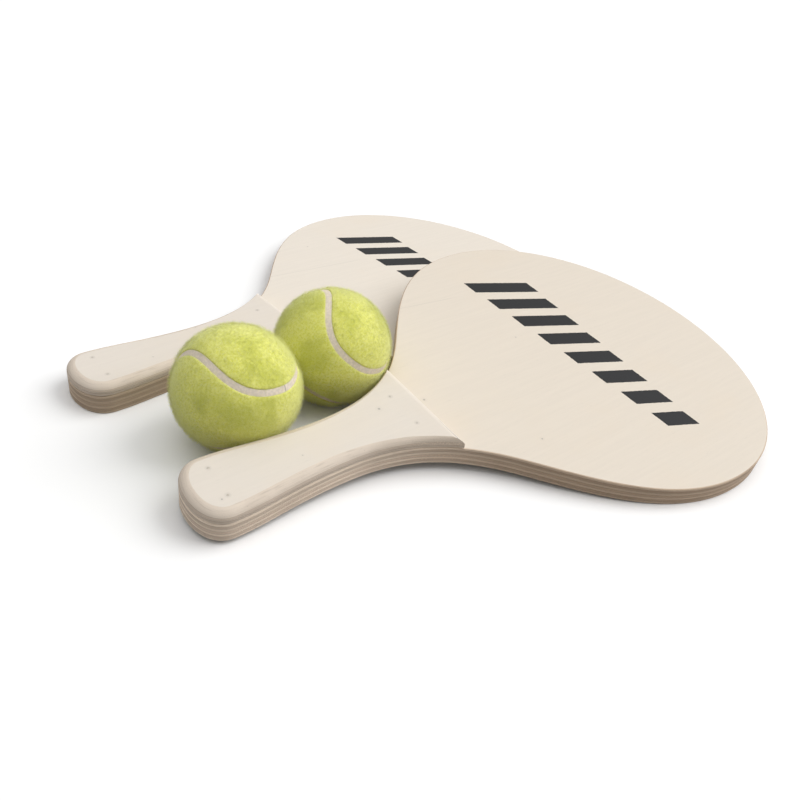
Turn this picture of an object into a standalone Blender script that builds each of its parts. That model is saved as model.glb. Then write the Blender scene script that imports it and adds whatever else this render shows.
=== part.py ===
"""Beach paddle ball set: two plywood paddles and two felt-covered balls.

The rear paddle lies flat on the floor with its butt end towards -X. The front paddle lies beside it with its
blade resting on the rear blade, so it is tilted. Both balls stand on the floor between the two handles.
Units are metres and +Z is up. A paddle is built in its own frame: X runs from the butt end to the tip, and
Z from the lower face of the blade upwards.
"""

from math import cos, pi, radians, sin

import bmesh
import bpy
from mathutils import Euler, Matrix, Vector
from mathutils.geometry import interpolate_bezier

# Paddle outline, measured from the butt end
PADDLE_LENGTH = 0.376
BLADE_WIDTH = 0.254
WIDEST_TO_TIP = 0.105
SHOULDER_PULL = 0.0525
NECK_STATION = 0.165
NECK_WIDTH = 0.115
NECK_FLARE = radians(50)
NECK_PULL = 0.0405
WAIST_STATION = 0.080
WAIST_WIDTH = 0.033
WAIST_PULL = 0.033
BUTT_STATION = 0.015
BUTT_WIDTH = 0.0417
BUTT_PULL = 0.0205
BUTT_CORNER_ALONG = 0.0083
BUTT_CORNER_ACROSS = 0.0131

# Paddle thickness
BLADE_THICKNESS = 0.0115
BLADE_ARRIS = 0.0007
GRIP_THICKNESS = 0.0064
GRIP_LIP = 0.0019
GRIP_LENGTH = 0.1415
GRIP_ROUNDING = 0.0049
GRIP_TAPER_START = 0.0745
GRIP_NECK_ROUNDING = 0.0013
GRIP_END_BEVEL = 0.0048

# Pins that hold the grip to the handle
PIN_DIAMETER = 0.0016
PIN_LENGTH = 0.0130
BUTT_PIN_STATION = 0.0165
BUTT_PIN_SPREAD = 0.0195
NECK_PIN_STATION = 0.126
NECK_PIN_SPREAD = 0.024

# Balls
BALL_DIAMETER = 0.066
FELT_THICKNESS = 0.0032
SEAM_WIDTH = 0.0026
SEAM_SINK = 0.0006
SEAM_SWING = 0.44
FRONT_BALL_TURN = (radians(-88), radians(4), radians(24))
REAR_BALL_TURN = (radians(-72), radians(31), radians(-9))

# How the pieces lie
HANDLE_ROOM = 0.021
FRONT_SLIDE = 0.0029
FRONT_TURN = radians(-3)
FRONT_BALL_TO_PADDLE = 0.0004
REAR_BALL_TO_FRONT_PADDLE = 0.0013
REAR_BALL_TO_REAR_PADDLE = 0.0072
BALL_TO_BALL = 0.0026
GAP = 0.0003

# Mesh density
KNOT_STEPS = 10
GRIP_STEPS = 38
GRIP_PROFILE_STEPS = 4
GRIP_CROWN = radians(72)
BALL_SEGMENTS = 32
CORE_SEGMENTS = 20
SEAM_STEPS = 80
PIN_SIDES = 10
CUT_MARGIN = 0.001
MERGE_DISTANCE = 0.00001
FLAT_ANGLE = radians(1)
SMOOTH_ANGLE = radians(30)
FELT_SMOOTH_ANGLE = radians(40)
QUARTER_ROUND = 0.5523
HALVINGS = 30

COLORS = {
    "blade_plywood": (0.79, 0.71, 0.60, 0.75, 0.0),
    "grip_plywood": (0.80, 0.73, 0.62, 0.70, 0.0),
    "pin_steel": (0.42, 0.41, 0.42, 0.45, 1.0),
    "ball_felt": (0.60, 0.68, 0.14, 1.0, 0.0),
    "ball_seam": (0.60, 0.60, 0.50, 0.85, 0.0),
    "ball_rubber": (0.08, 0.08, 0.08, 0.80, 0.0),
}


def clear_scene():
    for thing in list(bpy.data.objects):
        bpy.data.objects.remove(thing, do_unlink=True)


def make_collection(name):
    collection = bpy.data.collections.new(name)
    bpy.context.scene.collection.children.link(collection)
    return collection


def make_material(name, red, green, blue, roughness, metallic):
    material = bpy.data.materials.new(name)
    material.use_nodes = True
    shader = material.node_tree.nodes["Principled BSDF"]
    shader.inputs["Base Color"].default_value = (red, green, blue, 1.0)
    shader.inputs["Roughness"].default_value = roughness
    shader.inputs["Metallic"].default_value = metallic
    material.diffuse_color = (red, green, blue, 1.0)
    return material


def add_part(name, mesh, material, parent=None, smooth_angle=SMOOTH_ANGLE):
    """Put a mesh into the scene as one sub-part of the set."""
    part = bpy.data.objects.new(name, mesh)
    PARTS.objects.link(part)
    mesh.materials.clear()
    mesh.materials.append(MATERIALS[material])
    mesh.shade_smooth()
    mesh.set_sharp_from_angle(angle=smooth_angle)
    part.parent = parent
    return part


def add_cutter(name, mesh, parent=None):
    cutter = bpy.data.objects.new(name, mesh)
    CUTTERS.objects.link(cutter)
    cutter.hide_render = True
    cutter.display_type = "WIRE"
    cutter.parent = parent
    return cutter


def cut(part, cutter, label):
    boolean = part.modifiers.new(label, "BOOLEAN")
    boolean.operation = "DIFFERENCE"
    boolean.object = cutter
    return boolean


def mesh_from_bmesh(name, bm):
    bmesh.ops.recalc_face_normals(bm, faces=bm.faces)
    mesh = bpy.data.meshes.new(name)
    bm.to_mesh(mesh)
    bm.free()
    return mesh


def loft(name, rings, closed):
    """Skin rings of equal length: a closed loft joins its last ring to its first, an open one is capped."""
    bm = bmesh.new()
    rows = [[bm.verts.new(point) for point in ring] for ring in rings]
    pairs = list(zip(rows, rows[1:]))
    if closed:
        pairs.append((rows[-1], rows[0]))
    for lower, upper in pairs:
        for i in range(len(lower)):
            j = (i + 1) % len(lower)
            bm.faces.new((lower[i], lower[j], upper[j], upper[i]))
    if not closed:
        bm.faces.new(rows[0])
        bm.faces.new(rows[-1])
    return mesh_from_bmesh(name, bm)


def evaluated_mesh(part):
    graph = bpy.context.evaluated_depsgraph_get()
    return bpy.data.meshes.new_from_object(part.evaluated_get(graph))


# Paddle outline


def half_outline_knots():
    """Knots of the outline's left half, from butt end to tip, each as handle in, point and handle out."""
    flare = Vector((cos(NECK_FLARE), sin(NECK_FLARE), 0.0)) * NECK_PULL
    widest = PADDLE_LENGTH - WIDEST_TO_TIP
    butt_end = Vector((0.0, 0.0, 0.0))
    butt = Vector((BUTT_STATION, BUTT_WIDTH / 2, 0.0))
    waist = Vector((WAIST_STATION, WAIST_WIDTH / 2, 0.0))
    neck = Vector((NECK_STATION, NECK_WIDTH / 2, 0.0))
    shoulder = Vector((widest, BLADE_WIDTH / 2, 0.0))
    tip = Vector((PADDLE_LENGTH, 0.0, 0.0))
    along = Vector((1.0, 0.0, 0.0))
    across = Vector((0.0, 1.0, 0.0))
    tip_pull = across * QUARTER_ROUND * BLADE_WIDTH / 2
    return [
        (butt_end - across * BUTT_CORNER_ACROSS, butt_end, butt_end + across * BUTT_CORNER_ACROSS),
        (butt - along * BUTT_CORNER_ALONG, butt, butt + along * BUTT_PULL),
        (waist - along * WAIST_PULL, waist, waist + along * WAIST_PULL),
        (neck - flare, neck, neck + flare),
        (shoulder - along * SHOULDER_PULL, shoulder, shoulder + along * QUARTER_ROUND * WIDEST_TO_TIP),
        (tip + tip_pull, tip, tip - tip_pull),
    ]


def mirrored(point):
    return Vector((point.x, -point.y, point.z))


def outline_knots():
    left = half_outline_knots()
    right = [(mirrored(after), mirrored(point), mirrored(before)) for before, point, after in left[1:-1]]
    return left + right[::-1]


def half_outline_points(steps):
    """Points of the outline's left half from the butt end to the tip."""
    knots = half_outline_knots()
    points = [knots[0][1]]
    for start, end in zip(knots, knots[1:]):
        points += interpolate_bezier(start[1], start[2], end[0], end[1], steps + 1)[1:]
    return points


def full_outline_points(steps):
    left = half_outline_points(steps)
    return left + [mirrored(point) for point in left[-2:0:-1]]


def inside_outline(point, outline):
    """Whether a point lies within a closed outline, counted by the edges that a ray towards +X crosses."""
    crossings = 0
    for start, end in zip(outline, outline[1:] + outline[:1]):
        if (start.y > point.y) != (end.y > point.y):
            reach = start.x + (point.y - start.y) / (end.y - start.y) * (end.x - start.x)
            crossings += reach > point.x
    return crossings % 2 == 1


# Paddle pieces


def blade_mesh(name):
    """The plywood blade and its handle tongue: a flat outline with softened edges."""
    curve = bpy.data.curves.new(name + "_outline", "CURVE")
    curve.dimensions = "2D"
    curve.fill_mode = "BOTH"
    curve.resolution_u = KNOT_STEPS
    curve.extrude = BLADE_THICKNESS / 2 - BLADE_ARRIS
    curve.bevel_depth = BLADE_ARRIS
    curve.bevel_resolution = 1
    curve.offset = -BLADE_ARRIS
    knots = outline_knots()
    spline = curve.splines.new("BEZIER")
    spline.bezier_points.add(len(knots) - 1)
    spline.use_cyclic_u = True
    for bezier_point, (before, point, after) in zip(spline.bezier_points, knots):
        bezier_point.co = point
        bezier_point.handle_left = before
        bezier_point.handle_right = after
    carrier = bpy.data.objects.new(name + "_outline", curve)
    PARTS.objects.link(carrier)
    mesh = evaluated_mesh(carrier)
    bpy.data.objects.remove(carrier, do_unlink=True)
    bm = bmesh.new()
    bm.from_mesh(mesh)
    bmesh.ops.remove_doubles(bm, verts=bm.verts, dist=MERGE_DISTANCE)
    bmesh.ops.translate(bm, verts=bm.verts, vec=(0.0, 0.0, BLADE_THICKNESS / 2))
    bmesh.ops.dissolve_limit(bm, angle_limit=FLAT_ANGLE, verts=bm.verts, edges=bm.edges)
    return mesh_from_bmesh(name, bm)


def grip_inset(station):
    """How far the grip's rounded edge reaches in from the handle's side."""
    share = (station - GRIP_TAPER_START) / (GRIP_LENGTH - GRIP_TAPER_START)
    share = min(max(share, 0.0), 1.0)
    return GRIP_ROUNDING + (GRIP_NECK_ROUNDING - GRIP_ROUNDING) * share


def grip_ring(inset_share, height):
    """The grip's outline at one height: the handle's outline, set in at its sides and at its straight end."""
    outline = half_outline_points(4 * KNOT_STEPS)
    end_station = GRIP_LENGTH - GRIP_END_BEVEL * inset_share
    side = []
    for before, point, after in zip(outline, outline[1:], outline[2:]):
        tangent = (after - before).normalized()
        inward = Vector((tangent.y, -tangent.x, 0.0))
        side.append(point + inward * grip_inset(point.x) * inset_share)
    start = Vector((grip_inset(0.0) * inset_share, 0.0, 0.0))
    side = [start] + [point for point in side if point.y > 0.0]
    while side[-2].x >= end_station:
        side.pop()
    share = (end_station - side[-2].x) / (side[-1].x - side[-2].x)
    side[-1] = side[-2].lerp(side[-1], share)
    left = evenly_spaced(side, GRIP_STEPS)
    ring = left + [mirrored(point) for point in left[:0:-1]]
    return [Vector((point.x, point.y, height)) for point in ring]


def evenly_spaced(line, count):
    """A line of points resampled to a count of even steps, with both ends kept."""
    reach = [0.0]
    for start, end in zip(line, line[1:]):
        reach.append(reach[-1] + (end - start).length)
    points = [line[0]]
    i = 1
    for step in range(1, count):
        wanted = reach[-1] * step / count
        while reach[i] < wanted:
            i += 1
        share = (wanted - reach[i - 1]) / (reach[i] - reach[i - 1])
        points.append(line[i - 1].lerp(line[i], share))
    return points + [line[-1]]


def grip_rings():
    base = BLADE_THICKNESS + GAP
    rings = [grip_ring(0.0, base), grip_ring(0.0, base + GRIP_LIP)]
    for step in range(1, GRIP_PROFILE_STEPS + 1):
        turn = GRIP_CROWN * step / GRIP_PROFILE_STEPS
        inset_share = (1.0 - cos(turn)) / (1.0 - cos(GRIP_CROWN))
        rise = sin(turn) / sin(GRIP_CROWN)
        rings.append(grip_ring(inset_share, base + GRIP_LIP + (GRIP_THICKNESS - GRIP_LIP) * rise))
    return rings


def pin_places():
    return [
        (BUTT_PIN_STATION, BUTT_PIN_SPREAD / 2),
        (BUTT_PIN_STATION, -BUTT_PIN_SPREAD / 2),
        (NECK_PIN_STATION, NECK_PIN_SPREAD / 2),
        (NECK_PIN_STATION, -NECK_PIN_SPREAD / 2),
    ]


def upright_cylinder(bm, place, radius, low, high):
    middle = Matrix.Translation((place[0], place[1], (low + high) / 2))
    bmesh.ops.create_cone(
        bm, cap_ends=True, segments=PIN_SIDES, radius1=radius, radius2=radius, depth=high - low, matrix=middle
    )


def build_paddle(name, frame):
    """One paddle: the blade with its handle tongue, the grip on top of it and the pins through both."""
    top = BLADE_THICKNESS + GAP + GRIP_THICKNESS
    holes = bmesh.new()
    for place in pin_places():
        upright_cylinder(holes, place, PIN_DIAMETER / 2 + GAP, top - PIN_LENGTH - GAP, top + CUT_MARGIN)
    drill = add_cutter(name + "_pin_holes", mesh_from_bmesh(name + "_pin_holes", holes), frame)
    blade = add_part(name + "_blade", blade_mesh(name + "_blade"), "blade_plywood", frame)
    cut(blade, drill, "pin holes")
    grip = add_part(name + "_grip", loft(name + "_grip", grip_rings(), closed=False), "grip_plywood", frame)
    cut(grip, drill, "pin holes")
    for number, place in enumerate(pin_places(), start=1):
        bm = bmesh.new()
        upright_cylinder(bm, place, PIN_DIAMETER / 2, top - PIN_LENGTH, top)
        pin_name = "%s_pin_%d" % (name, number)
        add_part(pin_name, mesh_from_bmesh(pin_name, bm), "pin_steel", frame)


# How the front paddle rests


def handle_spacing():
    return WAIST_WIDTH + BALL_DIAMETER + HANDLE_ROOM


def flat_place():
    """Where the front paddle lies in plan, before it is tilted."""
    return Matrix.Translation((FRONT_SLIDE, -handle_spacing(), 0.0)) @ Matrix.Rotation(FRONT_TURN, 4, "Z")


def outline_centre(outline):
    """Area and centre of a closed outline."""
    area = 0.0
    moment = Vector((0.0, 0.0, 0.0))
    for start, end in zip(outline, outline[1:] + outline[:1]):
        slice_area = (start.x * end.y - end.x * start.y) / 2
        area += slice_area
        moment += (start + end) / 3 * slice_area
    return abs(area), moment / area


def paddle_balance_point():
    """The paddle's centre of mass in plan."""
    blade_area, blade_centre = outline_centre(full_outline_points(KNOT_STEPS))
    grip_area, grip_centre = outline_centre(grip_ring(0.5, 0.0))
    blade_share = blade_area * BLADE_THICKNESS
    grip_share = grip_area * GRIP_THICKNESS
    centre = (blade_centre * blade_share + grip_centre * grip_share) / (blade_share + grip_share)
    return Vector((centre.x, centre.y, 0.0))


def support_points():
    """What the front paddle's lower face can touch: the floor, the rear blade and the rear grip."""
    place = flat_place()
    blade = full_outline_points(KNOT_STEPS)
    grip = grip_ring(0.0, 0.0)
    blade_top = BLADE_THICKNESS + GAP
    grip_top = blade_top + GRIP_THICKNESS + GAP
    front = [place @ point for point in blade]
    supports = []
    for point in front:
        height = 0.0
        if inside_outline(point, blade):
            height = blade_top
        if inside_outline(point, grip):
            height = grip_top
        supports.append(Vector((point.x, point.y, height)))
    for outline, height in ((blade, blade_top), (grip, grip_top)):
        for point in outline:
            if inside_outline(point, front):
                supports.append(Vector((point.x, point.y, height)))
    return supports


def front_paddle_matrix():
    """The front paddle at rest, on the facet of the supports' hull that lies under its balance point."""
    place = flat_place()
    centre = place @ paddle_balance_point()
    bm = bmesh.new()
    for point in support_points():
        bm.verts.new(point)
    bmesh.ops.convex_hull(bm, input=bm.verts)
    bm.normal_update()
    rests = []
    for face in bm.faces:
        if face.normal.z > 0.5:
            corner = face.verts[0].co
            slope = -Vector((face.normal.x, face.normal.y)) / face.normal.z
            height = corner.z + slope.dot(Vector((centre.x - corner.x, centre.y - corner.y)))
            rests.append((height, face.normal.copy(), corner.copy()))
    bm.free()
    height, normal, corner = min(rests, key=lambda rest: rest[0])
    along = place.to_3x3() @ Vector((1.0, 0.0, 0.0))
    along = (along - normal * along.dot(normal)).normalized()
    across = normal.cross(along)
    butt = place.to_translation()
    butt.z = corner.z - (normal.x * (butt.x - corner.x) + normal.y * (butt.y - corner.y)) / normal.z
    turn = Matrix((along, across, normal)).transposed().to_4x4()
    return Matrix.Translation(butt) @ turn


# Balls


def edge_points(matrix):
    """Points along the upper edges of a paddle that lies as the matrix says."""
    points = [Vector((point.x, point.y, BLADE_THICKNESS)) for point in full_outline_points(3 * KNOT_STEPS)]
    for ring in grip_rings()[1:]:
        points += ring
    return [matrix @ point for point in points]


def ball_clearance(centre, points):
    return min((point - centre).length for point in points) - BALL_DIAMETER / 2


def halved(low, high, is_low):
    """The place between two ends where the answer changes, found by halving."""
    for _ in range(HALVINGS):
        middle = (low + high) / 2
        if is_low(middle):
            low = middle
        else:
            high = middle
    return (low + high) / 2


def ball_beside_front(station, points, clearance):
    """The centre of a ball on the floor that stands a little way from the front paddle's inner side."""
    radius = BALL_DIAMETER / 2
    inner = -handle_spacing()
    far = inner + BLADE_WIDTH + BALL_DIAMETER

    def too_near(side):
        return ball_clearance(Vector((station, side, radius)), points) < clearance

    return Vector((station, halved(inner, far, too_near), radius))


def ball_centres(front_matrix):
    """The rear ball sits in the crotch between the paddles, and the front ball stands beside it."""
    front_edges = edge_points(front_matrix)
    rear_edges = edge_points(Matrix.Identity(4))

    def rear_place(station):
        return ball_beside_front(station, front_edges, REAR_BALL_TO_FRONT_PADDLE)

    def front_place(station):
        return ball_beside_front(station, front_edges, FRONT_BALL_TO_PADDLE)

    def rear_ball_has_room(station):
        return ball_clearance(rear_place(station), rear_edges) > REAR_BALL_TO_REAR_PADDLE

    rear = rear_place(halved(WAIST_STATION, NECK_STATION, rear_ball_has_room))

    def front_ball_has_room(station):
        return (front_place(station) - rear).length > BALL_DIAMETER + BALL_TO_BALL

    return front_place(halved(rear.x - 2 * BALL_DIAMETER, rear.x, front_ball_has_room)), rear


def seam_direction(turn):
    """The direction from the ball's centre to a point of the seam, which swings four times round the ball."""
    polar = pi / 2 - (pi / 2 - SEAM_SWING) * cos(turn)
    around = turn / 2 + SEAM_SWING * sin(2 * turn)
    return Vector((sin(polar) * cos(around), sin(polar) * sin(around), cos(polar)))


def seam_mesh(name, width, inner, outer, ball_turn):
    """A band that follows the seam, from an inner to an outer radius."""
    rings = []
    for step in range(SEAM_STEPS):
        turn = 4 * pi * step / SEAM_STEPS
        half_step = 2 * pi / SEAM_STEPS
        outward = ball_turn @ seam_direction(turn)
        tangent = ball_turn @ (seam_direction(turn + half_step) - seam_direction(turn - half_step))
        sideways = outward.cross(tangent).normalized() * width / 2
        rings.append([
            outward * inner - sideways,
            outward * outer - sideways,
            outward * outer + sideways,
            outward * inner + sideways,
        ])
    return loft(name, rings, closed=True)


def sphere_mesh(name, radius, segments):
    bm = bmesh.new()
    bmesh.ops.create_uvsphere(bm, u_segments=segments, v_segments=segments // 2, radius=radius)
    return mesh_from_bmesh(name, bm)


def split_pieces(name, mesh):
    """The loose pieces of a mesh, each as a mesh of its own, from the highest to the lowest."""
    neighbours = {vertex.index: set() for vertex in mesh.vertices}
    for edge in mesh.edges:
        first, second = edge.vertices
        neighbours[first].add(second)
        neighbours[second].add(first)
    pieces = []
    unseen = set(neighbours)
    while unseen:
        front = {unseen.pop()}
        piece = set(front)
        while front:
            front = set().union(*(neighbours[index] for index in front)) & unseen
            unseen -= front
            piece |= front
        pieces.append(piece)
    pieces.sort(key=lambda piece: -sum(mesh.vertices[index].co.z for index in piece) / len(piece))
    meshes = []
    for piece in pieces:
        bm = bmesh.new()
        bm.from_mesh(mesh)
        rest = [vertex for vertex in bm.verts if vertex.index not in piece]
        bmesh.ops.delete(bm, geom=rest, context="VERTS")
        meshes.append(mesh_from_bmesh(name, bm))
    return meshes


def build_ball(name, turn, frame):
    """One ball: the rubber core, two felt panels and the seam that runs between them."""
    radius = BALL_DIAMETER / 2
    core_radius = radius - FELT_THICKNESS
    ball_turn = Euler(turn, "XYZ").to_matrix()
    core = sphere_mesh(name + "_core", core_radius - GAP, CORE_SEGMENTS)
    add_part(name + "_core", core, "ball_rubber", frame)
    seam = seam_mesh(name + "_seam", SEAM_WIDTH, core_radius, radius - SEAM_SINK, ball_turn)
    add_part(name + "_seam", seam, "ball_seam", frame)
    slot = seam_mesh(
        name + "_slot", SEAM_WIDTH + 2 * GAP, core_radius - CUT_MARGIN, radius + CUT_MARGIN, ball_turn
    )
    slot_cutter = add_cutter(name + "_slot", slot, frame)
    hollow = sphere_mesh(name + "_hollow", core_radius, CORE_SEGMENTS)
    core_cutter = add_cutter(name + "_hollow", hollow, frame)
    cover = add_cutter(name + "_cover", sphere_mesh(name + "_cover", radius, BALL_SEGMENTS), frame)
    cut(cover, core_cutter, "hollow")
    cut(cover, slot_cutter, "seam slot")
    panels = split_pieces(name + "_felt", evaluated_mesh(cover))
    for label, panel in zip(("upper", "lower"), panels):
        add_part("%s_felt_%s" % (name, label), panel, "ball_felt", frame, smooth_angle=FELT_SMOOTH_ANGLE)


# The set


def new_frame(name, parent=None):
    frame = bpy.data.objects.new(name, None)
    PARTS.objects.link(frame)
    frame.empty_display_size = 0.02
    frame.parent = parent
    return frame


def centre_on_floor(root):
    """Move the whole set so that the middle of its bounding box stands over the origin."""
    bpy.context.view_layer.update()
    points = []
    for part in PARTS.objects:
        if part.type == "MESH":
            points += [part.matrix_world @ vertex.co for vertex in evaluated_mesh(part).vertices]
    low = Vector([min(point[axis] for point in points) for axis in range(3)])
    high = Vector([max(point[axis] for point in points) for axis in range(3)])
    root.location = (-(low.x + high.x) / 2, -(low.y + high.y) / 2, -low.z)


def build_set():
    root = new_frame("paddle_ball_set")
    build_paddle("rear_paddle", new_frame("rear_paddle", root))
    front_frame = new_frame("front_paddle", root)
    front_matrix = front_paddle_matrix()
    front_frame.location = front_matrix.to_translation()
    front_frame.rotation_euler = front_matrix.to_euler()
    build_paddle("front_paddle", front_frame)
    front_centre, rear_centre = ball_centres(front_matrix)
    turns = (("front_ball", front_centre, FRONT_BALL_TURN), ("rear_ball", rear_centre, REAR_BALL_TURN))
    for name, centre, turn in turns:
        frame = new_frame(name, root)
        frame.location = centre
        build_ball(name, turn, frame)
    centre_on_floor(root)


clear_scene()
PARTS = make_collection("beach_paddle_ball_set")
CUTTERS = make_collection("cutters")
MATERIALS = {name: make_material(name, *values) for name, values in COLORS.items()}
build_set()
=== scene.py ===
"""Beach paddle ball set: the visible pieces of two plywood paddles and two felt-covered balls.

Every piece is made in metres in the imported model's own frame, where +Z is up and the set stands on the
floor. A paddle is worked out in its own frame, which is found from the four pins that hold its grip: X runs
from the butt end to the tip, Y across, and Z from the lower face of the blade upwards. A ball is worked out
from the middle of its rubber core. Each piece then stands in for the plain solid of the same name.
"""

from math import asin, copysign, cos, pi, radians, sin, sqrt

import bmesh
import bpy
import numpy as np
from bpy.props import FloatProperty, FloatVectorProperty, IntProperty, PointerProperty
from mathutils import Euler, Matrix, Vector, noise
from mathutils.geometry import interpolate_bezier
from mathutils.kdtree import KDTree


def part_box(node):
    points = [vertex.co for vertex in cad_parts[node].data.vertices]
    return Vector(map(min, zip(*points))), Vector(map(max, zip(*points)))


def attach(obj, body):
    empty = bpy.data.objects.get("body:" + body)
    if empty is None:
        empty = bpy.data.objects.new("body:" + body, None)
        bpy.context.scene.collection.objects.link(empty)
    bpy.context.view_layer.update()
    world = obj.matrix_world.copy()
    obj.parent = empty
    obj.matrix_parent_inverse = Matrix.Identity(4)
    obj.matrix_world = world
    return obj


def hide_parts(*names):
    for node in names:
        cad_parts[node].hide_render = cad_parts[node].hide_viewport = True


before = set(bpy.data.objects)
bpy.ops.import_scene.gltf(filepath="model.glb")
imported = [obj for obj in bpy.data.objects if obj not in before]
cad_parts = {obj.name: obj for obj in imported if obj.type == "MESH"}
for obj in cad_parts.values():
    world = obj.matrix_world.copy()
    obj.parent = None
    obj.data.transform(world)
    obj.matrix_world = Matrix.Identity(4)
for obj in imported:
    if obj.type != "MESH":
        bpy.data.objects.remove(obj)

bl_info = {
    "name": "Beach Paddle Ball Set",
    "version": (1, 0, 0),
    "blender": (4, 5, 0),
    "location": "View3D > Sidebar > Paddle Set",
    "description": "Makes two plywood beach paddles and two felt-covered balls on a pale studio floor",
    "category": "Add Mesh",
}

# Paddle outline, measured from the butt end
PADDLE_LENGTH = 0.376
BLADE_WIDTH = 0.254
WIDEST_TO_TIP = 0.105
SHOULDER_PULL = 0.0525
NECK_STATION = 0.165
NECK_WIDTH = 0.115
NECK_FLARE = radians(50)
NECK_PULL = 0.0405
WAIST_STATION = 0.080
WAIST_WIDTH = 0.033
WAIST_PULL = 0.033
BUTT_STATION = 0.015
BUTT_WIDTH = 0.0417
BUTT_PULL = 0.0205
BUTT_CORNER_ALONG = 0.0083
BUTT_CORNER_ACROSS = 0.0131
QUARTER_ROUND = 0.5523

# Paddle thickness and the grip on top of the handle
BLADE_THICKNESS = 0.0115
GRIP_THICKNESS = 0.0064
GRIP_LIP = 0.0019
GRIP_LENGTH = 0.1415
GRIP_ROUNDING = 0.0049
GRIP_TAPER_START = 0.0745
GRIP_NECK_ROUNDING = 0.0013
GRIP_END_BEVEL = 0.0048
GRIP_CROWN = radians(72)
GAP = 0.0003

# Pins
PIN_DIAMETER = 0.0016
PIN_LENGTH = 0.0130
BUTT_PIN_STATION = 0.0165
BUTT_PIN_SPREAD = 0.0195
NECK_PIN_STATION = 0.126
NECK_PIN_SPREAD = 0.024

# Balls
BALL_RADIUS = 0.033
FELT_THICKNESS = 0.0032
SEAM_WIDTH = 0.0026
SEAM_SWING = 0.44
BALL_TURNS = {
    "front_ball": (radians(-88), radians(4), radians(24)),
    "rear_ball": (radians(-72), radians(31), radians(-9)),
}

# Mesh density
OUTLINE_STEPS = 60
BLADE_SIDE_STEPS = 420
GRIP_SIDE_STEPS = 250
GRIP_END_STEPS = 60
ARRIS_STEPS = 4
CROWN_STEPS = 16
PIN_SIDES = 24
FELT_DIVISIONS = 7
SEAM_SAMPLES = 2400
SEAM_STEPS = 520
SMOOTH_ANGLE = radians(38)

# How the camera stood
CAMERA_PLACE = (-0.30896, -0.29818, 0.26852)
CAMERA_HEADING = radians(-45.84)
CAMERA_DOWN = radians(34.65)
CAMERA_ROLL = radians(8.4)
CAMERA_LENS = 35.1
SENSOR_WIDTH = 36.0

PADDLES = ("rear_paddle", "front_paddle")
BALLS = ("rear_ball", "front_ball")
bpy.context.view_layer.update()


# Sizes and colours that a user would change


class BladeSettings(bpy.types.PropertyGroup):
    veneer: FloatVectorProperty(
        name="Face veneer", description="Colour of the sanded face veneer", subtype="COLOR", size=3,
        min=0.0, max=1.0, default=(0.780, 0.700, 0.598),
    )
    light_ply: FloatVectorProperty(
        name="Light ply", description="Colour of the plies that show long grain at the edge",
        subtype="COLOR", size=3, min=0.0, max=1.0, default=(0.600, 0.462, 0.338),
    )
    dark_ply: FloatVectorProperty(
        name="Dark ply", description="Colour of the plies that show end grain at the edge",
        subtype="COLOR", size=3, min=0.0, max=1.0, default=(0.450, 0.326, 0.230),
    )
    plies: IntProperty(name="Plies", description="Number of plies in the blade", min=3, max=13, default=7)
    arris: FloatProperty(
        name="Arris", description="Radius of the sanded edge between face and side", unit="LENGTH",
        subtype="DISTANCE", min=0.0001, max=0.002, default=0.0007, precision=5,
    )
    glue_line: FloatProperty(
        name="Glue line", description="Depth of the fine groove between two plies", unit="LENGTH",
        subtype="DISTANCE", min=0.0, max=0.001, default=0.00016, precision=5,
    )


class GripSettings(bpy.types.PropertyGroup):
    veneer: FloatVectorProperty(
        name="Grip face", description="Colour of the grip's flat top", subtype="COLOR", size=3,
        min=0.0, max=1.0, default=(0.760, 0.694, 0.617),
    )
    rounding: FloatVectorProperty(
        name="Grip rounding", description="Colour of the sanded rounding round the grip", subtype="COLOR",
        size=3, min=0.0, max=1.0, default=(0.700, 0.585, 0.465),
    )
    steel: FloatVectorProperty(
        name="Pin steel", description="Colour of the pins", subtype="COLOR", size=3, min=0.0, max=1.0,
        default=(0.62, 0.55, 0.48),
    )
    pin_dome: FloatProperty(
        name="Pin dome", description="How far a pin's head is domed", unit="LENGTH", subtype="DISTANCE",
        min=0.0, max=0.0005, default=0.00008, precision=5,
    )


class BallSettings(bpy.types.PropertyGroup):
    felt: FloatVectorProperty(
        name="Felt", description="Colour of the felt", subtype="COLOR", size=3, min=0.0, max=1.0,
        default=(0.88, 0.90, 0.23),
    )
    seam: FloatVectorProperty(
        name="Seam", description="Colour of the rubber seam", subtype="COLOR", size=3, min=0.0, max=1.0,
        default=(0.86, 0.755, 0.635),
    )
    fibres: IntProperty(
        name="Fibres", description="Fibres on each felt panel", min=0, max=15000, default=15000
    )
    fibre_length: FloatProperty(
        name="Fibre length", description="Mean length of a fibre", unit="LENGTH", subtype="DISTANCE",
        min=0.0002, max=0.005, default=0.0029, precision=5,
    )
    fibre_width: FloatProperty(
        name="Fibre width", description="Width of a fibre at its root", unit="LENGTH", subtype="DISTANCE",
        min=0.00002, max=0.0005, default=0.00007, precision=5,
    )


class StageSettings(bpy.types.PropertyGroup):
    floor: FloatVectorProperty(
        name="Floor", description="Colour of the floor as it lights the set", subtype="COLOR", size=3,
        min=0.0, max=1.0, default=(0.56, 0.55, 0.54),
    )
    key: FloatProperty(
        name="Key light", description="Strength of the key light", min=0.0, default=1.85,
    )
    key_angle: FloatProperty(
        name="Key size", description="Angle that the key light fills", unit="ROTATION", subtype="ANGLE",
        min=0.0, max=pi, default=radians(50),
    )
    sky: FloatProperty(
        name="Light overhead", description="Strength of the light from above", min=0.0, default=1.52,
    )
    fill: FloatProperty(
        name="Light all round", description="Strength of the light at floor level", min=0.0, default=0.02,
    )


# Outline of a paddle


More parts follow.
